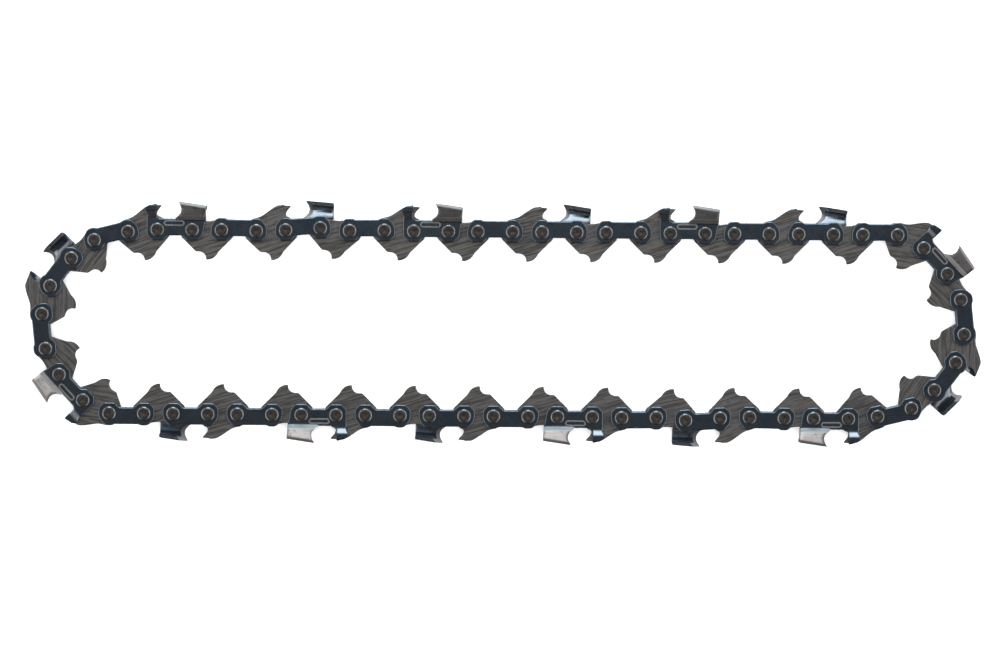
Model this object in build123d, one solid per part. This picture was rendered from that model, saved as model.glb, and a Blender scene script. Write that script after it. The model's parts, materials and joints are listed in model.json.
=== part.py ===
from build123d import *
import os
from math import cos, hypot, pi, radians, sin

# A loop of low-profile saw chain lying flat on a surface. Lengths are millimetres, angles degrees.
# The loop is its own half-turn copy about Z, so any shape of one half closes on the other.

# Loop: links are numbered clockwise seen from above, from the upper left
HALF_UNITS = 16                  # riveted plate units in half of the loop
STRAP_SPAN = 10.12               # rivet to rivet in a plate unit
LINK_SPAN = 8.52                 # rivet to rivet in a drive link
LEAD_IN = (9, 5, 0)              # turns where the upper run leaves the left end
SLACK = (1, -3, -2, 9, -6, 2, -1)  # small turns of the slack in a run
END_TURNS = (26, 21, 15, 22, 22, 21, 14, 25)  # turns round the right end
LOCKED_UNIT = 7                  # this unit and its opposite one carry their drive links rigidly

# Thicknesses, stacked outwards from the middle plane
LINK_THICK = 1.27
SIDE_GAP = 0.05
PLATE_THICK = 1.2
HEAD_HEIGHT = 0.55
KERF = 7.0                       # width cut by the left and right teeth together

# Rivets
HUB_RADIUS = 1.75
HUB_CLEARANCE = 0.05
HEAD_RADIUS = 2.05
HEAD_TAPER = 30                  # slope of the spun rim
HEAD_SIDES = 8                   # few sides, since the rivets repeat
HUB_SIDES = 6

# Side plates, measured from the rivets' line
PLATE_GAP = 2.3                  # between the ends of neighbouring plates
STRAP_TOP = 3.0
STRAP_BOTTOM = 3.1
WAIST = 1.7                      # depth of the plate under its middle
CORNER = 1.5                     # clipped corners
FOOT = 1.5                       # flat stretch under a rivet, towards the waist

# Drive links
LINK_GAP = 3.5                   # between the ends of neighbouring drive links
LINK_TOP = 3.5
LINK_CORNER = 1.3                # upper corner, past a rivet
SHOULDER = 20                    # one flat side of the rounded ends, about the rivets
ROUND_SIDES = 3                  # few sides for the hook and the belly of a tang, since they repeat
LINK_DIP = 2.5
DIP_INSET = 3.4                  # from a rivet to the bottom of the dip
LINK_FLANK = 2.0                 # where the flanks of the tang start, below the rivets
LEDGE_DEPTH = 6.3
LEDGE = 1.0
HOOK_RADIUS = 2.0
TOE = 0.4                        # straight stretch below the hook
BELLY_END = 6.3                  # depth where the rounded rear of the tang meets its flank
TANG_BELLY = 0.6                 # how far that rear bulges

# Bumper on every second drive link, in front of a cutter
BUMPER_TOP = 7.35
BUMPER_CREST = 2.0               # start of the flat top, in front of the rear rivet
BUMPER_BACK = 1.4                # rounding in front of the flat top
BUMPER_DROOP = 0.7               # fall over that rounding
BUMPER_TIP = 1.9                 # hooked tip, behind the rear rivet
TIP_DROOP = 0.35
THROAT = 0.3                     # under the hooked tip, behind the rear rivet
THROAT_RISE = 1.9
NECK_RISE = 0.65
RAMP_FOOT = 1.5                  # behind the front rivet

# Cutters: both the depth gauge and the tooth are bent outwards, clear of the bumper
BEND_ROOT = 1.4                  # overlap of a bent strip with the flat below it
GAUGE_BEND = 3.9                 # where the gauge leaves the flat
GAUGE_BEND_RISE = 1.4
GAUGE_REAR = 0.2                 # in front of the front rivet
GAUGE_LENGTH = 3.3
GAUGE_LEAN = 0.6                 # forward lean of its front
GAUGE_TOP = 7.5
GAUGE_FALL = 0.7                 # slope of its top
GAUGE_BEVEL = 0.9
GAUGE_OFFSET = 0.7
GULLET_FLOOR = 3.2
GULLET_CORNER = 0.8
TOOTH_LEAD = 4.0                 # cutting corner, in front of the rear rivet
TOOTH_BEND = 2.9                 # where the outer side of the tooth leaves the flat
TOOTH_BEND_RISE = 1.0
INNER_BEND = 3.3                 # the same on its inner side
INNER_BEND_RISE = 1.7
TOOTH_TOP = 8.35
TOOTH_FALL = 1.35                # drop of the top plate towards its heel
TOOTH_WALL = 1.1
TOOTH_ROUND = 0.9                # outer corner between the wall and the top plate
TOP_OVERHANG = 1.0               # top plate, past the middle plane
HEEL_GAP = 1.2                   # between a heel and the next plate
FILE_RADIUS = 2.9
FILE_HEIGHT = 6.15
FILE_BITE = 0.85                 # hollow behind the cutting corner
FILE_SIDES = 12
FILE_ANGLE = 30

plate_in = LINK_THICK / 2 + SIDE_GAP
plate_out = plate_in + PLATE_THICK
plate_reach = (LINK_SPAN - PLATE_GAP) / 2
heel_reach = LINK_SPAN - plate_reach - HEEL_GAP
link_reach = (STRAP_SPAN - LINK_GAP) / 2
tang_depth = LEDGE_DEPTH + HOOK_RADIUS + TOE
bore_radius = (HUB_RADIUS + HUB_CLEARANCE) / cos(pi / HUB_SIDES)
UNITS = 2 * HALF_UNITS


def loop_frames():
    """Start point and heading of each stretch between rivets, plate units and drive links in turn."""
    bends = [*LEAD_IN, *SLACK]
    bends += [0] * (UNITS - len(bends) - len(END_TURNS))
    bends += END_TURNS
    heading = sum(LEAD_IN)
    half = []
    x = y = 0
    for n in range(UNITS):
        half.append((x, y, heading))
        span = LINK_SPAN if n % 2 else STRAP_SPAN
        x += span * cos(radians(heading))
        y += span * sin(radians(heading))
        heading -= bends[n]
    near = [(px - x / 2, py - y / 2, turn) for px, py, turn in half]
    return near + [(-px, -py, turn - 180) for px, py, turn in near]


def place(solid, frame):
    """Carry a link from its own frame, with its first rivet at the origin, to its place in the loop."""
    x, y, heading = frame
    return Location((x, y, KERF / 2), (0, 0, heading)) * solid


def layer(face, low, high):
    """A flat blank between two heights."""
    return Pos(0, 0, low) * extrude(face, amount=high - low, dir=(0, 0, 1))


def lower_edge(span):
    """The underside of a plate, left to right: two feet and the raised waist between them."""
    rise = STRAP_BOTTOM - WAIST
    return [
        (-plate_reach, CORNER - STRAP_BOTTOM),
        (CORNER - plate_reach, -STRAP_BOTTOM),
        (FOOT, -STRAP_BOTTOM),
        (FOOT + rise, -WAIST),
        (span - FOOT - rise, -WAIST),
        (span - FOOT, -STRAP_BOTTOM),
        (span + plate_reach - CORNER, -STRAP_BOTTOM),
        (span + plate_reach, CORNER - STRAP_BOTTOM),
    ]


def strap_face():
    """Tie strap: a straight top edge with clipped corners."""
    upper_edge = [
        (STRAP_SPAN + plate_reach, STRAP_TOP - CORNER),
        (STRAP_SPAN + plate_reach - CORNER, STRAP_TOP),
        (CORNER - plate_reach, STRAP_TOP),
        (-plate_reach, STRAP_TOP - CORNER),
    ]
    return make_face(Polyline(*lower_edge(STRAP_SPAN), *upper_edge, close=True))


def cutter_face():
    """Flat of a cutter: feet of the depth gauge and of the tooth, and the gullet between them."""
    lead = STRAP_SPAN - TOOTH_LEAD
    upper_edge = [
        (STRAP_SPAN + heel_reach, TOOTH_BEND),
        (lead, TOOTH_BEND),
        (lead - GULLET_CORNER, GULLET_FLOOR),
        (GULLET_CORNER - GAUGE_REAR, GULLET_FLOOR),
        (-GAUGE_REAR, GAUGE_BEND),
        (-plate_reach, GAUGE_BEND),
    ]
    return make_face(Polyline(*lower_edge(STRAP_SPAN), *upper_edge, close=True))


def strip_section(outline, x):
    """Section of a bent strip, as (height, side) points, standing across the chain at x."""
    face = make_face(Polyline(*outline, close=True))
    return Plane(origin=(x, 0, 0), x_dir=(0, 1, 0), z_dir=(1, 0, 0)) * face


def gauge():
    """Depth gauge of a left cutter: a strip bent outwards, trimmed to a leaning outline."""
    outer = plate_out + GAUGE_OFFSET
    inner = plate_in + GAUGE_OFFSET
    foot = GAUGE_BEND - BEND_ROOT
    bend_end = GAUGE_BEND + GAUGE_BEND_RISE
    strip = [
        (foot, plate_out),
        (GAUGE_BEND, plate_out),
        (bend_end, outer),
        (GAUGE_TOP - GAUGE_BEVEL, outer),
        (GAUGE_TOP, (outer + inner) / 2),
        (GAUGE_TOP, inner),
        (bend_end, inner),
        (GAUGE_BEND, plate_in),
        (foot, plate_in),
    ]
    front = -GAUGE_REAR - GAUGE_LENGTH
    trim = Polyline(
        (front + GAUGE_LEAN, foot),
        (-GAUGE_REAR, foot),
        (-GAUGE_REAR, GAUGE_TOP),
        (front + GAUGE_LEAN, GAUGE_TOP - GAUGE_FALL),
        (front, GAUGE_TOP - GAUGE_FALL - GAUGE_LEAN),
        (front, bend_end),
        (front + GAUGE_LEAN, GAUGE_BEND),
        close=True,
    )
    bent = extrude(strip_section(strip, front), amount=GAUGE_LENGTH, dir=(1, 0, 0))
    return bent & layer(make_face(trim), 0, outer)


def tooth():
    """Wall and top plate of a left cutter. The bend at its foot is level, and its top falls towards the heel."""
    outer = KERF / 2
    inner = outer - TOOTH_WALL
    lead = STRAP_SPAN - TOOTH_LEAD
    front = lead - GULLET_CORNER
    length = STRAP_SPAN + heel_reach - front
    foot = TOOTH_BEND - BEND_ROOT
    wall_top = TOOTH_TOP - TOOTH_ROUND
    wall_strip = [
        (foot, plate_out),
        (TOOTH_BEND, plate_out),
        (TOOTH_BEND + TOOTH_BEND_RISE, outer),
        (wall_top, outer),
        (wall_top, inner),
        (INNER_BEND + INNER_BEND_RISE, inner),
        (INNER_BEND, plate_in),
        (foot, plate_in),
    ]
    trim = Polyline(
        (front, foot),
        (front + length, foot),
        (front + length, wall_top - TOOTH_FALL),
        (front, wall_top),
        close=True,
    )
    top_strip = [
        (TOOTH_TOP - TOOTH_WALL, outer),
        (wall_top, outer),
        (TOOTH_TOP, outer - TOOTH_ROUND),
        (TOOTH_TOP, -TOP_OVERHANG),
        (TOOTH_TOP - TOOTH_WALL, -TOP_OVERHANG),
    ]
    bent = extrude(strip_section(wall_strip, front), amount=length, dir=(1, 0, 0))
    wall = bent & layer(make_face(trim), 0, outer)
    slope = (length, -TOOTH_FALL, 0)
    top = extrude(strip_section(top_strip, front), amount=hypot(length, TOOTH_FALL), dir=slope)
    # The round hollow that a file leaves in front, ground at an angle across the chain
    middle = (lead + FILE_BITE - FILE_RADIUS / cos(radians(FILE_ANGLE)), FILE_HEIGHT, outer)
    across = Plane(origin=middle, z_dir=(sin(radians(FILE_ANGLE)), 0, -cos(radians(FILE_ANGLE))))
    file = RegularPolygon(FILE_RADIUS, FILE_SIDES)
    return wall + top - across * layer(file, -FILE_RADIUS, KERF + FILE_RADIUS)


def rivet():
    """Hub between the plates and a spun head outside each, on the Z axis."""
    half = layer(RegularPolygon(HUB_RADIUS, HUB_SIDES), 0, plate_in)
    disc = RegularPolygon(HEAD_RADIUS, HEAD_SIDES)
    half += Pos(0, 0, plate_out) * extrude(disc, amount=HEAD_HEIGHT, taper=HEAD_TAPER)
    return half + mirror(half, about=Plane.XY)


def riveted(near_plate, far_plate):
    """Two plates held together by a rivet at each end, as one solid."""
    pins = [rivet(), Pos(STRAP_SPAN, 0, 0) * rivet()]
    return near_plate + far_plate + pins


def strap_unit():
    """Two tie straps."""
    strap = layer(strap_face(), plate_in, plate_out)
    return riveted(strap, mirror(strap, about=Plane.XY))


def left_unit():
    """A left cutter, on the upper side of the chain as it lies, and the tie strap across from it."""
    strap = layer(strap_face(), plate_in, plate_out)
    cutter = layer(cutter_face(), plate_in, plate_out) + gauge() + tooth()
    return riveted(cutter, mirror(strap, about=Plane.XY))


def few_sided(arc):
    """Points that follow an arc with a few straight sides."""
    return [arc @ (step / ROUND_SIDES) for step in range(ROUND_SIDES + 1)]


def drive_link(bumper):
    """Drive link: rounded ends about two bores, and a tang with a hooked front for the bar's groove."""
    left, right = -link_reach, LINK_SPAN + link_reach
    ledge_start = left + LEDGE_DEPTH - LINK_FLANK
    hook_start = ledge_start + LEDGE
    belly_end = (right - BELLY_END + LINK_FLANK, -BELLY_END)
    crown = [(LINK_SPAN - DIP_INSET, LINK_DIP), (DIP_INSET, LINK_DIP)]
    if bumper:
        crest = LINK_SPAN - BUMPER_CREST
        crown = [
            (LINK_SPAN, LINK_TOP + NECK_RISE),
            (LINK_SPAN + THROAT, LINK_TOP + THROAT_RISE),
            (LINK_SPAN + BUMPER_TIP, BUMPER_TOP - TIP_DROOP),
            (crest, BUMPER_TOP),
            (crest - BUMPER_BACK, BUMPER_TOP - BUMPER_DROOP),
            (RAMP_FOOT, LINK_TOP + NECK_RISE),
        ]
    rear_arc = CenterArc((LINK_SPAN, 0), link_reach, 0, SHOULDER)
    front_arc = CenterArc((0, 0), link_reach, 180 - SHOULDER, SHOULDER)
    hook = CenterArc((hook_start, -LEDGE_DEPTH - HOOK_RADIUS), HOOK_RADIUS, 90, -90)
    belly = SagittaArc((hook_start + HOOK_RADIUS, -tang_depth), belly_end, -TANG_BELLY)
    corners = [(LINK_SPAN + LINK_CORNER, LINK_TOP), (-LINK_CORNER, LINK_TOP)]
    top = Polyline(rear_arc @ 0, rear_arc @ 1, corners[0], *crown, corners[1], front_arc @ 0, front_arc @ 1)
    front_flank = [(left, 0), (left, -LINK_FLANK), (ledge_start, -LEDGE_DEPTH)]
    rear_flank = [(right, -LINK_FLANK), (right, 0)]
    tang = Polyline(*front_flank, *few_sided(hook), *few_sided(belly), *rear_flank)
    face = make_face([*top.edges(), *tang.edges()])
    bore = RegularPolygon(bore_radius, HUB_SIDES)
    face -= [bore, Pos(LINK_SPAN, 0) * bore]
    return layer(face, -LINK_THICK / 2, LINK_THICK / 2)


frames = loop_frames()
plain_link = drive_link(bumper=False)
bumper_link = drive_link(bumper=True)
straps = strap_unit()
left_cutter = left_unit()
right_cutter = mirror(left_cutter, about=Plane.XY)

units = {}
links = {}
for number in range(1, UNITS + 1):
    if number % 2:
        name, unit, link = "tie_straps", straps, bumper_link
    elif number % 4 == 2:
        name, unit, link = "left_cutter", left_cutter, plain_link
    else:
        name, unit, link = "right_cutter", right_cutter, plain_link
    units[number] = (f"{name}_{number:02d}", place(unit, frames[2 * number - 2]))
    kind = "bumper_link" if link is bumper_link else "drive_link"
    links[number] = (f"{kind}_{number:02d}", place(link, frames[2 * number - 1]))

nodes = dict([*units.values(), *links.values()])
for number in (LOCKED_UNIT, LOCKED_UNIT + HALF_UNITS):
    before, middle, after = links[number - 1][0], units[number][0], links[number][0]
    group = [nodes.pop(before), nodes.pop(middle), nodes.pop(after)]
    nodes[f"joined_links_{number:02d}"] = Compound(children=group)

os.makedirs("parts", exist_ok=True)
for name, solid in nodes.items():
    export_step(solid, f"parts/{name}.step")
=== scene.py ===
import json
from math import cos, pi, radians, sin, tan

import bpy
import numpy as np
from mathutils import Matrix, Vector
from mathutils.geometry import delaunay_2d_cdt


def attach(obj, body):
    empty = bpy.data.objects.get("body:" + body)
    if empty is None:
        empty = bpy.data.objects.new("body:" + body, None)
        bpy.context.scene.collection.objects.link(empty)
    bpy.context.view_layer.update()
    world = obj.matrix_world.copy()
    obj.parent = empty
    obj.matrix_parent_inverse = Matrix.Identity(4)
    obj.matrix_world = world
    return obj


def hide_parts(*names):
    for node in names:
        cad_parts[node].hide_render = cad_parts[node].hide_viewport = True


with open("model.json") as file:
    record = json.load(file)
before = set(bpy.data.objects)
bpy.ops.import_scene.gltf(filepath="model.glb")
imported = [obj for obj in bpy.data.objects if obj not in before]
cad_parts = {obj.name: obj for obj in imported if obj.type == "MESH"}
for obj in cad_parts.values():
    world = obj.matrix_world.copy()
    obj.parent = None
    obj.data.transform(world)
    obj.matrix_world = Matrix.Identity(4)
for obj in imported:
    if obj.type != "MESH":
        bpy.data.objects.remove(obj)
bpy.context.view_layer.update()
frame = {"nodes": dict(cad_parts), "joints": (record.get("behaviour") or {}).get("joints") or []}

# Drive links: blanked from 1.27 mm steel strip, left bare and ground on both flats, so the wheel's slanting
# marks show. Each has two bores for the rivets' hubs and a hooked tang that runs in the bar's groove. Every
# second one carries a bumper that rises in front of the next cutter. Lengths are in mm.
MM = 0.001
HALF_UNITS = 16
UNITS = 2 * HALF_UNITS
LOCKED = (7, 7 + HALF_UNITS)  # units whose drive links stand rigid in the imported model
KERF = 7.0         # over the left and right teeth, on which the chain lies
MIDDLE = KERF / 2  # height of the chain's middle plane
STRAP_SPAN = 10.12
LINK_SPAN = 8.52
LINK_GAP = 3.5
LINK_THICK = 1.27
LINK_EDGE = 0.14
LINK_REACH = (STRAP_SPAN - LINK_GAP) / 2
BORE_RADIUS = 1.8
LINK_TOP = 3.5
LINK_CORNER = 1.3
SHOULDER_RISE = 1.1
LINK_DIP = 2.5
DIP_INSET = 3.4
LINK_FLANK = 2.0   # depth where the flanks of the tang start, which slope at 45 degrees
LEDGE_DEPTH = 6.3
LEDGE = 1.0
HOOK_RADIUS = 2.0
TOE = 0.4
BELLY_CORNER = (6.48, -8.57)
BELLY_END = 6.3    # depth where the rounded rear of the tang meets its flank
NECK = (LINK_SPAN, 4.15)
THROAT = (LINK_SPAN + 0.3, 5.4)
BUMPER_TIP = (LINK_SPAN + 1.9, 7.0)
BUMPER_CREST = (6.52, 7.35)
BUMPER_BACK = (5.12, 6.65)
RAMP_FOOT = (1.5, 4.15)
TANG_CUTS = [0.7, 0.35, 1.98, 0.2, 2.1, 0.3, 0.7, 0.9]  # how far the rounding of each corner reaches
BUMPER_CUTS = [0.3, 0.5, 0.6, 0.45, 0.6, 0.6, 0.9]
DIP_CUT = 0.7
TOP_CUT = 0.9
BUMPER_FOOT_CUT = 0.7
ROUND_STEPS = 6    # points on a rounded corner
ROLL_STEPS = 4     # points across a rolled edge
BORE_SIDES = 20
SMOOTH_ANGLE = 38  # edges that turn by more stay sharp
PLACE_STEP = 40    # from the noise on one piece to the noise on the next
BARE_DARK = (0.122, 0.112, 0.103, 1)
BARE_LIGHT = (0.44, 0.41, 0.38, 1)
BARE_EDGE = (0.08, 0.075, 0.07, 1)
BARE_STAIN = (0.17, 0.13, 0.10, 1)
GRIND_ANGLE = 17
GRIND_LENGTH = 9.0
GRIND_WIDTH = 0.45
SCRATCH_WIDTH = 0.12
BUMP_DEPTH = 0.0001

rivets = {joint["name"][-3:]: np.array(joint["pos_m"][:2]) / MM for joint in frame["joints"]}
# Five pivots have no joint: the loop's half turn gives the open one, and the other four lie on the straight
# stretches of the rigid units.
rivets["24a"] = -rivets["08a"]
for unit in LOCKED:
    start, end = rivets[f"{unit - 1:02d}b"], rivets[f"{unit + 1:02d}a"]
    step = (end - start) / np.linalg.norm(end - start)
    rivets[f"{unit:02d}a"] = start + LINK_SPAN * step
    rivets[f"{unit:02d}b"] = start + (LINK_SPAN + STRAP_SPAN) * step


def rounded(corners, cuts, closed=True):
    """A path with its corners turned into arcs. An arc starts and ends one cut from its corner, along the two
    sides: the rational quadratic curve of start, corner and end, the corner weighted by the sine of half its
    angle. An open path keeps its two ends."""
    corners = np.array(corners, float)
    back = np.roll(corners, 1, axis=0) - corners
    ahead = np.roll(corners, -1, axis=0) - corners
    back /= np.linalg.norm(back, axis=1, keepdims=True)
    ahead /= np.linalg.norm(ahead, axis=1, keepdims=True)
    cuts = np.array(cuts, float)[:, None]
    weight = np.sqrt((1 - (back * ahead).sum(axis=1)) / 2)[:, None, None]
    along = np.linspace(0, 1, ROUND_STEPS)[None, :, None]
    starts, ends = (corners + cuts * back)[:, None], (corners + cuts * ahead)[:, None]
    shares = (1 - along) ** 2, 2 * weight * along * (1 - along), along ** 2
    arcs = (shares[0] * starts + shares[1] * corners[:, None] + shares[2] * ends) / sum(shares)
    if closed:
        return arcs.reshape(-1, 2)
    return np.vstack([corners[:1], arcs[1:-1].reshape(-1, 2), corners[-1:]])


def inset(outline, depth):
    """A closed path moved inwards: each point goes along the sum of its two sides' normals, scaled so that
    both sides move by the depth."""
    side = np.roll(outline, -1, axis=0) - outline
    normal = np.stack([side[:, 1], -side[:, 0]], axis=1) / np.linalg.norm(side, axis=1, keepdims=True)
    both = normal + np.roll(normal, 1, axis=0)
    return outline - depth * both / (both * normal).sum(axis=1, keepdims=True)


def tube_faces(levels, count, first=0):
    """Quads between rings of points that lie one above the other."""
    level, spot = np.meshgrid(np.arange(levels - 1), np.arange(count), indexing="ij")
    after = (spot + 1) % count
    lower, upper = level * count, (level + 1) * count
    quads = [lower + spot, lower + after, upper + after, upper + spot]
    return first + np.stack(quads, axis=-1).reshape(-1, 4)


def shape(points, faces, rim=0.0, finish=0.0, flat=()):
    """A mesh before it has its place: points in mm, groups of faces, how worn each point is, the finish of
    each face, and which groups are flat."""
    sides = np.concatenate([np.full(len(group), group.shape[1]) for group in faces])
    flats = [np.full(len(group), i in flat) for i, group in enumerate(faces)]
    corners = np.concatenate([group.ravel() for group in faces])
    return {"points": points, "corners": corners, "sides": sides, "flat": np.concatenate(flats),
            "rim": np.broadcast_to(rim, len(points)).astype(float),
            "finish": np.broadcast_to(finish, len(sides)).astype(float)}


def at_height(path, height):
    """A flat path as points in space."""
    return np.column_stack([path, np.full(len(path), height)])


def circle(x, y, radius, sides):
    """Points round a circle, clockwise."""
    turns = -2 * pi * np.arange(sides) / sides
    return np.column_stack([x + radius * np.cos(turns), y + radius * np.sin(turns)])


def blank(outline, bores, bore_radius, low, high, edge):
    """A blanked plate: the outline carried up from low to high. Its ring is drawn in by edge * (1 - sin t) at
    a height of edge * (1 - cos t) from either flat, t from 0 to 90 degrees. The flats are cut into triangles
    round the bores, and those with their middle in a bore are left out."""
    turn = np.linspace(0, pi / 2, ROLL_STEPS)
    depth, climb = edge * (1 - np.sin(turn)), edge * (1 - np.cos(turn))
    depths = np.concatenate([depth, depth[::-1]])
    heights = np.concatenate([low + climb, high - climb[::-1]])
    worn = np.concatenate([np.sin(2 * turn) ** 0.5, np.sin(2 * turn[::-1]) ** 0.5])
    levels, count = len(depths), len(outline)
    points = [at_height(inset(outline, d), z) for d, z in zip(depths, heights)]
    faces = [tube_faces(levels, count)]
    flat_rings, first = [inset(outline, edge)], levels * count
    lower, upper = [np.arange(count)], [np.arange(count) + (levels - 1) * count]
    for x, y in bores:
        ring = circle(x, y, bore_radius, BORE_SIDES)
        points += [at_height(ring, low), at_height(ring, high)]
        faces.append(tube_faces(2, BORE_SIDES, first))
        flat_rings.append(ring)
        lower.append(first + np.arange(BORE_SIDES))
        upper.append(first + BORE_SIDES + np.arange(BORE_SIDES))
        first += 2 * BORE_SIDES
    spots = np.vstack(flat_rings)
    ends = np.cumsum([len(ring) for ring in flat_rings])
    after = np.arange(len(spots)) + 1
    after[ends - 1] = np.concatenate([[0], ends[:-1]])
    sides = np.column_stack([np.arange(len(spots)), after])
    inside_only, same_point = 1, 1e-6
    cut = delaunay_2d_cdt(spots.tolist(), sides.tolist(), [], inside_only, same_point)
    triangles = np.array(cut[2])
    middle = spots[triangles].mean(axis=1)
    solid = np.all([np.hypot(*(middle - bore).T) > bore_radius * 0.99 for bore in bores], axis=0)
    triangles = triangles[solid]
    faces += [np.concatenate(upper)[triangles], np.concatenate(lower)[triangles][:, ::-1]]
    points = np.vstack(points)
    rim = np.zeros(len(points))
    rim[:levels * count] = np.repeat(worn, count)
    return shape(points, faces, rim, flat=(len(faces) - 2, len(faces) - 1))


def add_piece(name, whole, pivots, material, body, number):
    """Carry a shape from its own frame, first rivet at the origin and X to the second, to its place in the
    loop."""
    start, end = rivets[pivots[0]], rivets[pivots[1]]
    ahead = (end - start) / np.linalg.norm(end - start)
    local = whole["points"]
    points = np.empty_like(local)
    points[:, 0] = start[0] + local[:, 0] * ahead[0] - local[:, 1] * ahead[1]
    points[:, 1] = start[1] + local[:, 0] * ahead[1] + local[:, 1] * ahead[0]
    points[:, 2] = MIDDLE + local[:, 2]
    mesh = bpy.data.meshes.new(name)
    mesh.vertices.add(len(points))
    mesh.vertices.foreach_set("co", (points * MM).ravel())
    mesh.loops.add(len(whole["corners"]))
    mesh.loops.foreach_set("vertex_index", whole["corners"])
    mesh.polygons.add(len(whole["sides"]))
    mesh.polygons.foreach_set("loop_start", np.cumsum(whole["sides"]) - whole["sides"])
    mesh.update(calc_edges=True)
    mesh.shade_smooth()
    mesh.set_sharp_from_angle(angle=radians(SMOOTH_ANGLE))
    sharp = mesh.attributes.get("sharp_face") or mesh.attributes.new("sharp_face", "BOOLEAN", "FACE")
    sharp.data.foreach_set("value", whole["flat"].astype(np.uint8))
    place = mesh.attributes.new("place", "FLOAT_VECTOR", "POINT")
    place.data.foreach_set("vector", (local + (0, 0, PLACE_STEP * number)).ravel())
    for mark, domain in (("rim", "POINT"), ("finish", "FACE")):
        mesh.attributes.new(mark, "FLOAT", domain).data.foreach_set("value", whole[mark])
    mesh.materials.append(material)
    piece = bpy.data.objects.new(name, mesh)
    bpy.context.scene.collection.objects.link(piece)
    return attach(piece, body)


class Tone:
    """A socket of a material. Sums and products of it with numbers or other sockets add Math nodes, and
    node() adds any other node: its type, its settings, and the values or links of its sockets."""

    def __init__(self, tree, socket=None):
        self.tree, self.socket = tree, socket

    def node(self, kind, settings, inputs, output=0):
        made = self.tree.nodes.new("ShaderNode" + kind)
        for key, value in settings.items():
            if key == "stops":
                for _ in value[2:]:
                    made.color_ramp.elements.new(1)
                for stop, (position, colour) in zip(made.color_ramp.elements, value):
                    stop.position, stop.color = position, colour
            else:
                setattr(made, key, value)
        for key, value in inputs.items():
            self.feed(made.inputs[key], value)
        return Tone(self.tree, made.outputs[output])

    def feed(self, target, value):
        if isinstance(value, Tone):
            self.tree.links.new(value.socket, target)
        else:
            target.default_value = value

    def math(self, operation, first, second):
        return self.node("Math", {"operation": operation}, {0: first, 1: second})

    def __add__(self, other):
        return self.math("ADD", self, other)

    def __sub__(self, other):
        return self.math("SUBTRACT", self, other)

    def __rsub__(self, other):
        return self.math("SUBTRACT", other, self)

    def __mul__(self, other):
        return self.math("MULTIPLY", self, other)

    __radd__, __rmul__ = __add__, __mul__

    def band(self, low, high):
        """0 below low, 1 above high, and a smooth rise between them."""
        ends = {"Value": self, "From Min": low, "From Max": high}
        return self.node("MapRange", {"interpolation_type": "SMOOTHSTEP"}, ends)

    def mix(self, first, second):
        """One colour where this is 0 and another where it is 1."""
        return self.node("Mix", {"data_type": "RGBA"}, {0: self, 6: first, 7: second}, 2)

    def noise(self, scale, detail=2.0, rough=0.5):
        """Cloudy noise over these coordinates."""
        inputs = {"Vector": self, "Scale": scale, "Detail": detail, "Roughness": rough}
        return self.node("TexNoise", {}, inputs)

    def stretched(self, angle, size):
        """Coordinates turned by an angle and then drawn out along their new axes."""
        turn = {"Vector": self, "Rotation": (0, 0, radians(angle)), "Scale": size}
        return self.node("Mapping", {"vector_type": "TEXTURE"}, turn)

    def bump(self, strength):
        """Normals of a surface that is as high as this."""
        inputs = {"Height": self, "Strength": strength, "Distance": BUMP_DEPTH}
        return self.node("Bump", {}, inputs)


def new_finish(name):
    """A metal with its shader, and the place and wear sockets of the piece that has it."""
    material = bpy.data.materials.new(name)
    material.use_nodes = True
    shader = material.node_tree.nodes["Principled BSDF"].inputs
    shader["Metallic"].default_value = 1.0
    tone = Tone(material.node_tree)
    place = tone.node("Attribute", {"attribute_name": "place"}, {}, "Vector")
    rim = tone.node("Attribute", {"attribute_name": "rim"}, {}, "Fac")
    return material, shader, place, rim


bare_steel, shader, place, rim = new_finish("ground_bare_steel")
streaks = place.stretched(GRIND_ANGLE, (GRIND_LENGTH, GRIND_WIDTH, 1)).noise(1.0, 3.0, 0.65)
scratches = place.stretched(GRIND_ANGLE, (GRIND_LENGTH / 2, SCRATCH_WIDTH, 1)).noise(1.0, 2.0, 0.6)
stains = place.noise(0.45, 3.0, 0.55)
ground = streaks.band(0.38, 0.62) * 0.7 + scratches.band(0.35, 0.7) * 0.3
steel = ground.mix(BARE_DARK, BARE_LIGHT)
steel = (stains.band(0.55, 0.8) * 0.5).mix(steel, BARE_STAIN)
place.feed(shader["Base Color"], (rim * 0.85).mix(steel, BARE_EDGE))
place.feed(shader["Roughness"], 0.46 - ground * 0.14)
place.feed(shader["Normal"], scratches.bump(0.12))

left, right = -LINK_REACH, LINK_SPAN + LINK_REACH
ledge_start = left + LEDGE_DEPTH - LINK_FLANK
tip_back = ledge_start + LEDGE + HOOK_RADIUS
tang_depth = LEDGE_DEPTH + HOOK_RADIUS + TOE
tang = [(left, -LINK_FLANK), (ledge_start, -LEDGE_DEPTH), (tip_back, -LEDGE_DEPTH), (tip_back, -tang_depth),
        BELLY_CORNER, (right + LINK_FLANK - BELLY_END, -BELLY_END), (right, -LINK_FLANK),
        (right, SHOULDER_RISE), (LINK_SPAN + LINK_CORNER, LINK_TOP)]
front = [(-LINK_CORNER, LINK_TOP), (left, SHOULDER_RISE)]
dip = [(LINK_SPAN - DIP_INSET, LINK_DIP), (DIP_INSET, LINK_DIP)]
bumper = [NECK, THROAT, BUMPER_TIP, BUMPER_CREST, BUMPER_BACK, RAMP_FOOT]
bores = [(0, 0), (LINK_SPAN, 0)]
half = LINK_THICK / 2
plain_cuts = TANG_CUTS + [TOP_CUT, DIP_CUT, DIP_CUT, TOP_CUT, TOP_CUT]
plain_link = blank(rounded(tang + dip + front, plain_cuts), bores, BORE_RADIUS, -half, half, LINK_EDGE)
bumper_cuts = TANG_CUTS + BUMPER_CUTS + [BUMPER_FOOT_CUT, TOP_CUT]
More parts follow.
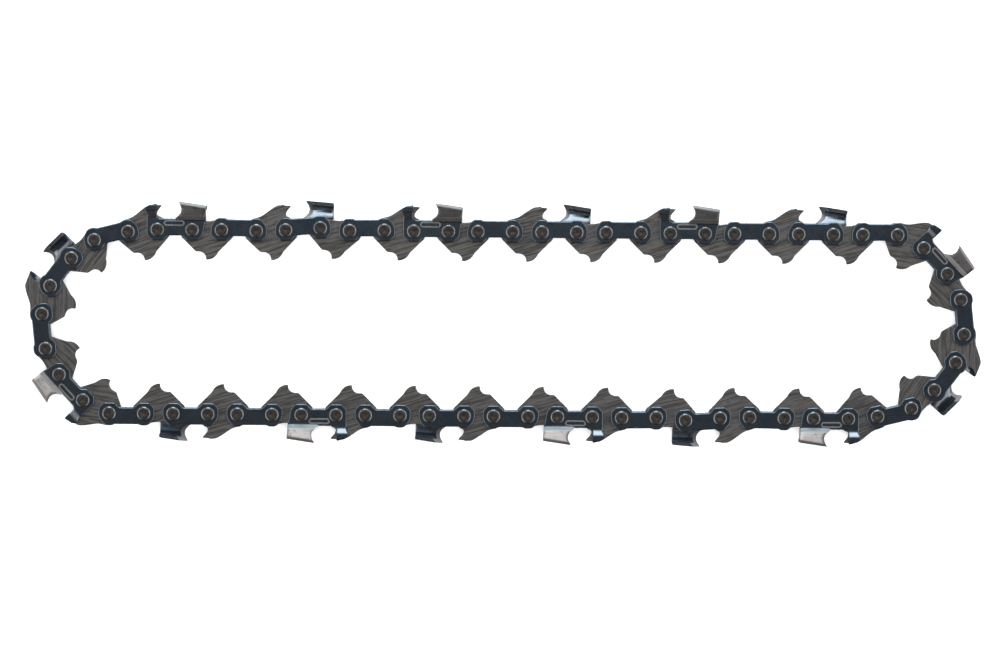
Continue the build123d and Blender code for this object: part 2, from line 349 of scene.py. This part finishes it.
bumper_link = blank(rounded(tang + bumper + front, bumper_cuts), bores, BORE_RADIUS, -half, half, LINK_EDGE)
for number in range(1, UNITS + 1):
    node = f"bumper_link_{number:02d}" if number % 2 else f"drive_link_{number:02d}"
    body = node if node in frame["nodes"] else f"joined_links_{LOCKED[number // HALF_UNITS]:02d}"
    whole = bumper_link if number % 2 else plain_link
    pivots = f"{number:02d}b", f"{number % UNITS + 1:02d}a"
    piece = add_piece(f"{node}_blank", whole, pivots, bare_steel, body, number)
    if body == node:
        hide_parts(node)

# Tie straps: waisted plates of 1.2 mm steel, tumbled so that the edges are rolled, and blued to a blue-black
# oxide that has worn through to the steel along the edges. They close the chain on both sides, pressed on the
# rivets.
SIDE_GAP = 0.05
PLATE_THICK = 1.2
PLATE_GAP = 2.3   # between the ends of neighbouring plates
PLATE_IN = LINK_THICK / 2 + SIDE_GAP
PLATE_OUT = PLATE_IN + PLATE_THICK
PLATE_REACH = (LINK_SPAN - PLATE_GAP) / 2
PLATE_EDGE = 0.26
STRAP_TOP = 3.15
LOBE_TOP = 3.55   # of the lobes round the rivets
LOBE_SIDE = 1.3
LOBE_OUT = 1.2
LOBE_IN = 0.8
LOBE_FOOT = 1.6
STRAP_BOTTOM = 3.1
WAIST = 1.7
CORNER = 1.5
FOOT = 1.5
NECK_RADIUS = 1.4
LOWER_CUTS = [0.6, 0.6, 0.5, 0.5, 0.5, 0.5, 0.6, 0.6]
UPPER_CUTS = [1.2, 0.9, 0.4, 0.4, 0.4, 0.4, 0.9, 1.2]
BLUE_DARK = (0.075, 0.095, 0.120, 1)
BLUE_LIGHT = (0.110, 0.135, 0.165, 1)
BLUE_WORN = (0.26, 0.29, 0.32, 1)
OIL_BROWN = (0.110, 0.095, 0.085, 1)
BLUE_ROUGH = 0.30
PIT_SCALE = 5.0


def blued(tone, rim):
    """The oxide: drifting patches of two blue-blacks, a little brown oil, and bare steel on rolled edges.
    Gives its colour, its roughness, its wear and its pits."""
    drift = tone.noise(0.35, 3.0, 0.6).band(0.3, 0.7)
    oil = tone.noise(0.8, 3.0, 0.6).band(0.58, 0.8)
    oxide = (oil * 0.45).mix(drift.mix(BLUE_DARK, BLUE_LIGHT), OIL_BROWN)
    wear = rim * tone.noise(1.6, 2.0, 0.6).band(0.2, 0.55)
    return wear.mix(oxide, BLUE_WORN), BLUE_ROUGH - drift * 0.06, wear, tone.noise(PIT_SCALE, 3.0, 0.6)


def join(*shapes):
    """Several shapes as one: their arrays end to end, with the corner numbers counted on."""
    starts = np.cumsum([0] + [len(each["points"]) for each in shapes])
    whole = {key: np.concatenate([each[key] for each in shapes]) for key in shapes[0]}
    whole["corners"] = np.concatenate([each["corners"] + start for each, start in zip(shapes, starts)])
    return whole


def mirrored(whole):
    """The shape on the other side of the chain's middle plane. Each face is read backwards to stay turned
    outwards."""
    backwards = {key: whole[key][::-1] for key in ("corners", "sides", "flat", "finish")}
    return {**whole, **backwards, "points": whole["points"] * (1, 1, -1)}


def plate_unit(number):
    """Node and pivots of a plate unit. Every second unit is a cutter, left and right ones by turns."""
    kind = ("right_cutter", "tie_straps", "left_cutter", "tie_straps")[number % 4]
    if number in LOCKED:
        kind = "joined_links"
    return f"{kind}_{number:02d}", (f"{number:02d}a", f"{number:02d}b")


blue_steel, shader, place, rim = new_finish("blued_steel")
colour, rough, wear, pits = blued(place, rim)
place.feed(shader["Base Color"], colour)
place.feed(shader["Roughness"], rough - wear * 0.04)
place.feed(shader["Normal"], pits.bump(0.10))

rise = STRAP_BOTTOM - WAIST
far_end = STRAP_SPAN + PLATE_REACH
lower_edge = [(-PLATE_REACH, CORNER - STRAP_BOTTOM), (CORNER - PLATE_REACH, -STRAP_BOTTOM),
              (FOOT, -STRAP_BOTTOM), (FOOT + rise, -WAIST),
              (STRAP_SPAN - FOOT - rise, -WAIST), (STRAP_SPAN - FOOT, -STRAP_BOTTOM),
              (far_end - CORNER, -STRAP_BOTTOM), (far_end, CORNER - STRAP_BOTTOM)]
upper_edge = [(far_end, LOBE_SIDE), (STRAP_SPAN + LOBE_OUT, LOBE_TOP),
              (STRAP_SPAN - LOBE_IN, LOBE_TOP), (STRAP_SPAN - LOBE_FOOT, STRAP_TOP),
              (LOBE_FOOT, STRAP_TOP), (LOBE_IN, LOBE_TOP),
              (-LOBE_OUT, LOBE_TOP), (-PLATE_REACH, LOBE_SIDE)]
pins = [(0, 0), (STRAP_SPAN, 0)]
strap_outline = rounded(lower_edge + upper_edge, LOWER_CUTS + UPPER_CUTS)
strap = blank(strap_outline, pins, NECK_RADIUS, PLATE_IN, PLATE_OUT, PLATE_EDGE)
far_strap = mirrored(strap)
both_straps = join(strap, far_strap)
for number in range(1, UNITS + 1, 2):
    node, pivots = plate_unit(number)
    piece = add_piece(f"{node}_plates", both_straps, pivots, blue_steel, node, number)
    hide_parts(node)

# Cutters: stamped from the same strip as the straps, with the depth gauge and the tooth bent outwards. The
# tooth's outside carries hard chrome, its front is hollowed by a round file at 30 degrees, and the rest is
# blued. A strap closes the other side.
STRIP_PROUD = 0.02    # of a bent strip, past the flat that it grows from
STRIP_EDGE = 0.18
BEND_SEAM = 0.1       # below a bend, where the flat ends
FLAT_INSET = 0.05     # of the flat, from the sides of the strips
HEEL_INSET = 0.04
GAUGE_FOOT = 2.9
GAUGE_BEND = 3.9
GAUGE_BEND_END = 5.3
GAUGE_REAR = 0.2
GAUGE_LENGTH = 3.3
GAUGE_LEAN = 0.6
GAUGE_TOP = 7.5
GAUGE_CREST = 0.5     # length of its highest stretch
GAUGE_FALL = 0.7
GAUGE_BEVEL = 0.4
GAUGE_OFFSET = 0.7
GAUGE_CUTS = [0, 0.45, 0.45, 0.2, 0]
GULLET_FLOOR = 3.2
GULLET_CORNER = 0.8
TOOTH_FOOT = 2.35
TOOTH_BEND = 2.9
TOOTH_BEND_END = 3.9
TOOTH_LEAD = STRAP_SPAN - 4.0
TOOTH_TOP = 8.34
TOOTH_FALL = 1.35
FALL_LOW, FALL_HIGH = 4.0, 7.2  # heights between which the wall takes up the fall of the top
TOOTH_WALL = 1.1
WALL_LEAN = 0.6       # of the wall, outwards to the cutting corner
TOOTH_ROUND = 0.9
CORNER_SPARE = 0.12   # by which the rounding takes the corner back from the kerf
TOP_OVERHANG = 0.7
BEND_CUT = 0.3
INNER_BEND = 3.1
INNER_BEND_END = 5.5
INNER_SIDE = 1.42
CEILING_SIDE = 1.55
HEEL_GAP = 1.2        # between a heel and the next plate
HEEL_END = STRAP_SPAN + PLATE_REACH + PLATE_GAP - HEEL_GAP
HEEL_LEAN = 0.3
CUTTING_EDGE = 0.03
FILE_RADIUS = 2.9
FILE_HEIGHT = 6.15
FILE_BITE = 0.85
FILE_ANGLE = 30
STATIONS = 8
STRIP_POINTS = 56
CUTTER_CUT = 0.4
STAMP_LEFT, STAMP_RIGHT = 1.8, 7.95
STAMP_LOW, STAMP_HIGH = 1.0, 2.75
STAMP_ROUND = 0.85
STAMP_LINE = 0.48
STAMP_SLOPE = 0.08
STAMP_PROUD = 0.05
STAMP_SUNK = 0.02
# The burnish finish gives the bends a lighter half-chrome colour. It is partly burnishing from the bending
# and partly a painted highlight where a bend catches the light.
BLUED, SHEARED, BURNISH_AND_SHEEN, CHROMED, WORN, FILED = 0.0, 0.15, 0.4, 1.0, 2.0, 3.0  # finishes
WEAR_RISE = 0.25      # wear above the bend of a tooth
CHROME = (0.74, 0.71, 0.70, 1)
CHROME_DULL = (0.60, 0.56, 0.54, 1)
BURNT_OIL = (0.26, 0.15, 0.09, 1)
WORN_STEEL = (0.41, 0.375, 0.35, 1)
FILED_STEEL = (0.58, 0.58, 0.60, 1)
tooth_start = TOOTH_LEAD - GULLET_CORNER


def evenly(path):
    """The same path with points at even steps along it."""
    reach = np.concatenate([[0], np.cumsum(np.linalg.norm(np.diff(path, axis=0), axis=1))])
    steps = np.linspace(0, reach[-1], STRIP_POINTS)
    return np.column_stack([np.interp(steps, reach, side) for side in path.T])


def bent_strip(outer, inner, fronts, rears, fall, edges, finish, front_finish):
    """A bent strip of plate. The section is the outer path out and the inner path back; each of its points
    (y, z) runs from x = front to x = rear in even stations, sinking by its fall for every mm that it goes
    back. Both ends are rolled: at edge * (1 - cos t) from an end the section is drawn in by
    edge * (1 - sin t)."""
    ring = np.vstack([outer, inner[::-1]])
    turn = np.linspace(0, pi / 2, ROLL_STEPS)
    depth, climb = 1 - np.sin(turn), (1 - np.cos(turn))[:, None]
    between = np.linspace(0, 1, STATIONS)[1:-1, None]
    first, last = fronts + edges[0], rears - edges[1]
    x = np.vstack([fronts + edges[0] * climb, first + (last - first) * between,
                   rears - edges[1] * climb[::-1]])
    depths = np.concatenate([edges[0] * depth, np.zeros(STATIONS - 2), edges[1] * depth[::-1]])
    drawn = np.array([inset(ring[::-1], d)[::-1] for d in depths])
    y = drawn[:, :, 0] - fall * (x - tooth_start)
    points = np.stack([x, y, drawn[:, :, 1]], axis=-1).reshape(-1, 3)
    count, span, rows = len(ring), len(outer), len(depths)
    spot = np.arange(span - 1)
    cap = np.column_stack([spot, spot + 1, count - 2 - spot, count - 1 - spot])
    sides = tube_faces(rows, count)[:, ::-1]
    marks = [np.tile(finish, rows - 1), np.full(span - 1, front_finish), np.full(span - 1, BLUED)]
    return shape(points, [sides, cap, cap[:, ::-1] + (rows - 1) * count], 0.0, np.concatenate(marks))


def file_hollow(section):
    """Where a file's cylinder leaves the front of the tooth: at height y and side z, half a chord of the file
    behind its axis, which slants back across the chain, and never in front of the gullet's end."""
    y, z = section.T
    slant = radians(FILE_ANGLE)
    axis = TOOTH_LEAD + FILE_BITE - FILE_RADIUS / cos(slant) + (KERF / 2 - z) * tan(slant)
    chord = np.sqrt(np.clip(FILE_RADIUS ** 2 - (y - FILE_HEIGHT) ** 2, 0, None)) / cos(slant)
    return np.maximum(tooth_start, axis + chord)


near, outside = PLATE_IN - STRIP_PROUD, PLATE_OUT + STRIP_PROUD
corner = KERF / 2 + CORNER_SPARE
ceiling = TOOTH_TOP - TOOTH_WALL
tooth_out = [(TOOTH_FOOT, outside), (TOOTH_BEND, outside), (TOOTH_BEND_END, corner - WALL_LEAN),
             (TOOTH_TOP, corner), (TOOTH_TOP, -TOP_OVERHANG)]
tooth_in = [(TOOTH_FOOT, near), (INNER_BEND, near), (INNER_BEND_END, INNER_SIDE),
            (ceiling, CEILING_SIDE), (ceiling, -TOP_OVERHANG)]
tooth_out = evenly(rounded(tooth_out, [0, BEND_CUT, BEND_CUT, TOOTH_ROUND, 0], closed=False))
tooth_in = evenly(rounded(tooth_in, [0, BEND_CUT, BEND_CUT, BEND_CUT, 0], closed=False))
section = np.vstack([tooth_out, tooth_in[::-1]])
height, outer_height = section[:, 0], tooth_out[:, 0]
share = np.clip((height - FALL_LOW) / (FALL_HIGH - FALL_LOW), 0, 1)
lean = HEEL_LEAN * (TOOTH_TOP - height) / (TOOTH_TOP - TOOTH_FOOT)
# Partly a painted highlight: the inside of the tooth's bend gets the lighter half-chrome burnish band, and
# the blued wall above it stays dark.
tooth_finish = np.where((height > TOOTH_BEND - BEND_SEAM) & (height < INNER_BEND_END), BURNISH_AND_SHEEN, BLUED)
outer_finish = np.where(outer_height > TOOTH_TOP - TOOTH_ROUND, WORN, CHROMED)
outer_finish[outer_height < TOOTH_BEND_END + WEAR_RISE] = WORN
outer_finish[outer_height < TOOTH_BEND - BEND_SEAM] = BLUED
outer_finish[-1] = SHEARED
tooth_finish[:STRIP_POINTS] = outer_finish
tooth = bent_strip(tooth_out, tooth_in, file_hollow(section), HEEL_END - lean,
                   TOOTH_FALL / (HEEL_END - tooth_start) * share, (CUTTING_EDGE, STRIP_EDGE),
                   tooth_finish, FILED)

gauge_front = -GAUGE_REAR - GAUGE_LENGTH
gauge_side, gauge_back = PLATE_OUT + GAUGE_OFFSET, PLATE_IN + GAUGE_OFFSET
gauge_out = [(GAUGE_FOOT, outside), (GAUGE_BEND, outside), (GAUGE_BEND_END, gauge_side),
             (GAUGE_TOP - GAUGE_BEVEL, gauge_side), (GAUGE_TOP, (gauge_side + gauge_back) / 2)]
gauge_in = [(GAUGE_FOOT, near), (GAUGE_BEND, near), (GAUGE_BEND_END, gauge_back),
            (GAUGE_TOP - GAUGE_BEVEL, gauge_back), (GAUGE_TOP, gauge_back)]
gauge_out = evenly(rounded(gauge_out, GAUGE_CUTS, closed=False))
gauge_in = evenly(rounded(gauge_in, GAUGE_CUTS, closed=False))
height = np.concatenate([gauge_out[:, 0], gauge_in[::-1, 0]])
shoulder = GAUGE_TOP - GAUGE_FALL
trim_heights = [GAUGE_FOOT, GAUGE_BEND, GAUGE_BEND_END, shoulder - GAUGE_LEAN, shoulder, GAUGE_TOP]
trim_fronts = [gauge_front + GAUGE_LEAN, gauge_front + GAUGE_LEAN, gauge_front, gauge_front,
               gauge_front + GAUGE_LEAN, -GAUGE_REAR - GAUGE_CREST]
# Partly a painted highlight: both faces of the gauge's bend get the lighter half-chrome burnish band.
gauge_finish = np.where((height > GAUGE_BEND - BEND_SEAM) & (height < GAUGE_BEND_END), BURNISH_AND_SHEEN, BLUED)
gauge = bent_strip(gauge_out, gauge_in, np.interp(height, trim_heights, trim_fronts),
                   np.full(len(height), -GAUGE_REAR), 0.0, (STRIP_EDGE, STRIP_EDGE), gauge_finish, BLUED)

tooth_seam, gauge_seam = TOOTH_BEND - BEND_SEAM, GAUGE_BEND - BEND_SEAM
cutter_top = [(HEEL_END - HEEL_LEAN - HEEL_INSET, tooth_seam), (TOOTH_LEAD + FLAT_INSET, tooth_seam),
              (tooth_start, GULLET_FLOOR), (GULLET_CORNER - GAUGE_REAR, GULLET_FLOOR),
              (-GAUGE_REAR - FLAT_INSET, gauge_seam), (-PLATE_REACH, gauge_seam)]
cutter_outline = rounded(lower_edge + cutter_top, LOWER_CUTS + [CUTTER_CUT] * len(cutter_top))
cutter_flat = blank(cutter_outline, pins, NECK_RADIUS, PLATE_IN, PLATE_OUT, PLATE_EDGE)

stamp_corners = [(STAMP_LEFT, STAMP_LOW), (STAMP_RIGHT, STAMP_LOW), (STAMP_RIGHT, STAMP_HIGH),
                 (STAMP_LEFT, STAMP_HIGH)]
stamp_path = rounded(stamp_corners, [STAMP_ROUND] * 4)
stamp_rings = [(0.0, -STAMP_SUNK), (STAMP_SLOPE, STAMP_PROUD), (STAMP_LINE - STAMP_SLOPE, STAMP_PROUD),
               (STAMP_LINE, -STAMP_SUNK)]
stamp_points = np.vstack([at_height(inset(stamp_path, d), PLATE_OUT + z) for d, z in stamp_rings])
stamp_faces = tube_faces(len(stamp_rings) + 1, len(stamp_path)) % len(stamp_points)
stamp_line = shape(stamp_points, [stamp_faces], 0.0, WORN)

chrome_steel, shader, place, rim = new_finish("chromed_and_blued_steel")
finish = place.node("Attribute", {"attribute_name": "finish"}, {}, "Fac")
filed = finish.band(FILED - 0.6, FILED - 0.4)
worn = finish.band(WORN - 0.6, WORN - 0.4) - filed
# The chrome mask is full on the plated wall. On the bends it mixes in some chrome for the burnish band, which
# is partly a painted highlight.
chrome_and_sheen = finish.math("MINIMUM", finish, CHROMED) * (1 - worn - filed)
oxide, rough, wear, pits = blued(place, rim)
polish = place.stretched(0, (6.0, 0.35, 1)).noise(1.0, 3.0, 0.6)
film = place.noise(0.5, 3.0, 0.6)
chrome = (polish.band(0.35, 0.7) * 0.6 + film.band(0.45, 0.7) * 0.4).mix(CHROME, CHROME_DULL)
chrome = (film.band(0.58, 0.74) * 0.6).mix(chrome, BURNT_OIL)
colour = worn.mix(chrome_and_sheen.mix(oxide, chrome), WORN_STEEL)
place.feed(shader["Base Color"], filed.mix(colour, FILED_STEEL))
place.feed(shader["Roughness"], rough - chrome_and_sheen * (0.12 - film * 0.08) + worn * 0.2 + filed * 0.22)
place.feed(shader["Normal"], (pits * (1 - chrome_and_sheen) + polish * chrome_and_sheen * 0.3).bump(0.03))

left_cutter = join(cutter_flat, gauge, tooth, stamp_line)
right_cutter = mirrored(join(cutter_flat, gauge, tooth))
for number in range(2, UNITS + 1, 2):
    node, pivots = plate_unit(number)
    whole, opposite = (left_cutter, far_strap) if node.startswith("left") else (right_cutter, strap)
    piece = add_piece(f"{node}_tooth", whole, pivots, chrome_steel, node, number)
    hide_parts(node)
    add_piece(f"{node}_strap", opposite, pivots, blue_steel, node, number)

# Rivets: turned from steel, with a hub that fills the drive link's bore and a neck through each plate. The
# heads are spun over outside the plates: a flat brown from oil, with a dimple in its middle, and a bright
# rolled rim.
HUB_CLEARANCE = 0.05
HUB_RADIUS = BORE_RADIUS - HUB_CLEARANCE
HEAD_RADIUS = 2.05
HEAD_HEIGHT = 0.55
HEAD_TOP = PLATE_OUT + HEAD_HEIGHT
HEAD_LIFT = 0.005      # from the plate to the underside of a head
UNDERCUT = 0.02
FLAT_RADIUS = 1.45
RIM_DROP = 0.46
RIM_STEPS = 6
RIM_WEAR = 1.7
SIDE_WEAR = 0.4
DIMPLE_FLOOR = 0.3
DIMPLE_EDGE = 0.42
DIMPLE_DEPTH = 0.05
DIMPLE_LIP = 0.01
POLE = 0.001           # radius that closes the middle of a head
RIVET_SIDES = 28
RIVET_FLAT = (0.10, 0.088, 0.08, 1)
RIVET_WARM = (0.17, 0.145, 0.125, 1)
RIVET_RIM = (0.36, 0.35, 0.34, 1)


def revolved(profile, marks):
    """A turned piece: each (radius, height) of the profile goes round the Z axis, and the ends are closed."""
    rings = [at_height(circle(0, 0, radius, RIVET_SIDES), height) for radius, height in profile]
    ring = np.arange(RIVET_SIDES)[None]
    ends = [ring[:, ::-1], ring + (len(profile) - 1) * RIVET_SIDES]
    faces = [tube_faces(len(profile), RIVET_SIDES), *ends]
    return shape(np.vstack(rings), faces, np.repeat(marks, RIVET_SIDES))


def moved(whole, shift):
    """The same shape at another place."""
    return {**whole, "points": whole["points"] + np.array(shift, float)}


rivet_steel, shader, place, rim = new_finish("spun_rivet_steel")
specks = place.noise(1.5, 3.0, 0.65)
warm = specks.band(0.4, 0.7).mix(RIVET_FLAT, RIVET_WARM)
bright = rim * (specks.band(0.36, 0.60) * 0.6 + 0.4)
place.feed(shader["Base Color"], bright.mix(warm, RIVET_RIM))
place.feed(shader["Roughness"], 0.38 - bright * 0.24 + specks * 0.06)
place.feed(shader["Normal"], specks.bump(0.15))

roll = np.linspace(0, pi / 2, RIM_STEPS)
rolled = np.column_stack([FLAT_RADIUS + (HEAD_RADIUS - FLAT_RADIUS) * np.sin(roll),
                          HEAD_TOP - RIM_DROP * (1 - np.cos(roll))])
dimple = [(POLE, HEAD_TOP - DIMPLE_DEPTH), (DIMPLE_FLOOR, HEAD_TOP - DIMPLE_DEPTH),
          (DIMPLE_EDGE, HEAD_TOP - DIMPLE_LIP)]
shank = [(HEAD_RADIUS - UNDERCUT, PLATE_OUT + HEAD_LIFT), (NECK_RADIUS, PLATE_OUT + HEAD_LIFT),
         (NECK_RADIUS - UNDERCUT, PLATE_IN), (HUB_RADIUS, PLATE_IN)]
head = np.vstack([dimple, rolled, shank])
head_worn = np.concatenate([[0, 0, 0], np.clip(RIM_WEAR * np.sin(roll), 0, 1), [SIDE_WEAR, 0, 0, 0]])
profile = np.vstack([head, head[::-1] * (1, -1)])
rivet = revolved(profile, np.concatenate([head_worn, head_worn[::-1]]))
both = join(rivet, moved(rivet, (STRAP_SPAN, 0, 0)))
for number in range(1, UNITS + 1):
    node, pivots = plate_unit(number)
    add_piece(f"{node}_rivets", both, pivots, rivet_steel, node, number)

# Studio: a white sheet on the table, a bright window beyond the upper run, pale walls left and right, and a
# ceiling that gets darker from the window to the other side. Lengths are in metres.
FLOOR_HALF = 2.0
FLOOR_WHITE = (0.93, 0.93, 0.93, 1)
FLOOR_WARM = (0.90, 0.90, 0.905, 1)
CEILING = [(0.0, 0.04), (0.35, 0.07), (0.44, 0.16), (0.50, 0.25), (0.55, 0.50), (0.60, 0.85), (0.75, 0.95),
           (1.0, 0.9)]  # light of the ceiling, from the near side to the window's
WINDOW = (2.1, 2.65, 3.05, 1)
SIDE_WALLS = (1.10, 1.18, 1.24, 1)
DIM_WALLS = (0.17, 0.17, 0.18, 1)
TABLE_NEAR = (0.05, 0.05, 0.05, 1)
TABLE_FAR = (0.55, 0.55, 0.56, 1)
floor_corners = [(-FLOOR_HALF, -FLOOR_HALF, 0), (FLOOR_HALF, -FLOOR_HALF, 0), (FLOOR_HALF, FLOOR_HALF, 0),
                 (-FLOOR_HALF, FLOOR_HALF, 0)]
floor_mesh = bpy.data.meshes.new("floor")
floor_mesh.from_pydata(floor_corners, [], [(0, 1, 2, 3)])
floor = bpy.data.objects.new("floor", floor_mesh)
bpy.context.scene.collection.objects.link(floor)
floor.visible_glossy = False
paper = bpy.data.materials.new("white_sheet")
paper.use_nodes = True
shader = paper.node_tree.nodes["Principled BSDF"].inputs
tone = Tone(paper.node_tree)
spot = tone.node("TexCoord", {}, {}, "Object")
tone.feed(shader["Base Color"], spot.noise(8.0).mix(FLOOR_WHITE, FLOOR_WARM))
shader["Roughness"].default_value = 0.9
floor_mesh.materials.append(paper)

world = bpy.data.worlds.new("studio")
bpy.context.scene.world = world
world.use_nodes = True
tone = Tone(world.node_tree)
toward = tone.node("TexCoord", {}, {}, "Generated")
across, along, up = [toward.node("SeparateXYZ", {}, {0: toward}, axis) for axis in "XYZ"]
sideways = across * across
stops = [(position, (light, light, light, 1)) for position, light in CEILING]
overhead = along.node("ValToRGB", {"stops": stops}, {"Fac": along * 0.5 + 0.5})
room = sideways.band(0.008, 0.05).mix(overhead, DIM_WALLS)
low_walls = sideways.band(0.10, 0.45) * (1 - up.band(0.70, 0.86))
room = low_walls.mix(room, SIDE_WALLS)
window = along.band(0.46, 0.56) * (1 - sideways.band(0.04, 0.10))
room = window.mix(room, WINDOW)
table = along.band(0.0, 0.5).mix(TABLE_NEAR, TABLE_FAR)
tone.feed(world.node_tree.nodes["Background"].inputs["Color"], up.band(-0.12, 0.0).mix(table, room))


def soft_box(name, place, width, depth, power):
    """A flat light of width by depth, turned from its place to the chain. It lights, and isn't mirrored."""
    light = bpy.data.lights.new(name, "AREA")
    light.shape, light.size, light.size_y, light.energy = "RECTANGLE", width, depth, power
    lamp = bpy.data.objects.new(name, light)
    lamp.location = place
    lamp.rotation_euler = (-Vector(place)).to_track_quat("-Z", "Y").to_euler()
    lamp.visible_glossy = False
    bpy.context.scene.collection.objects.link(lamp)


soft_box("overhead_box", place=(0, -0.2, 1.2), width=2.0, depth=1.6, power=40)
soft_box("far_box", place=(0, 1.2, 0.8), width=2.0, depth=1.0, power=30)

# Camera: it looks nearly straight down, from a little beyond the middle towards the upper run, as in the
# photograph.
IMAGE_WIDTH = 999
ELEVATION = 91.5  # more than 90 is past upright
DISTANCE = 1.0
FOCAL_PIXELS = 3421.5
TARGET = Vector((-0.00102, -0.00053, 0.0))
ROLL = 0.471
SENSOR = 36.0
camera_data = bpy.data.cameras.new("camera")
camera_data.sensor_width = SENSOR
camera_data.lens = SENSOR * FOCAL_PIXELS / IMAGE_WIDTH
camera_data.clip_start = 0.01
camera = bpy.data.objects.new("camera", camera_data)
outward = Vector((0, -cos(radians(ELEVATION)), sin(radians(ELEVATION))))
tilt = Matrix.Rotation(radians(90 - ELEVATION), 4, "X") @ Matrix.Rotation(radians(ROLL), 4, "Z")
camera.matrix_world = Matrix.Translation(TARGET + DISTANCE * outward) @ tilt
bpy.context.scene.collection.objects.link(camera)
bpy.context.scene.camera = camera
bpy.context.scene.view_settings.view_transform = "Standard"
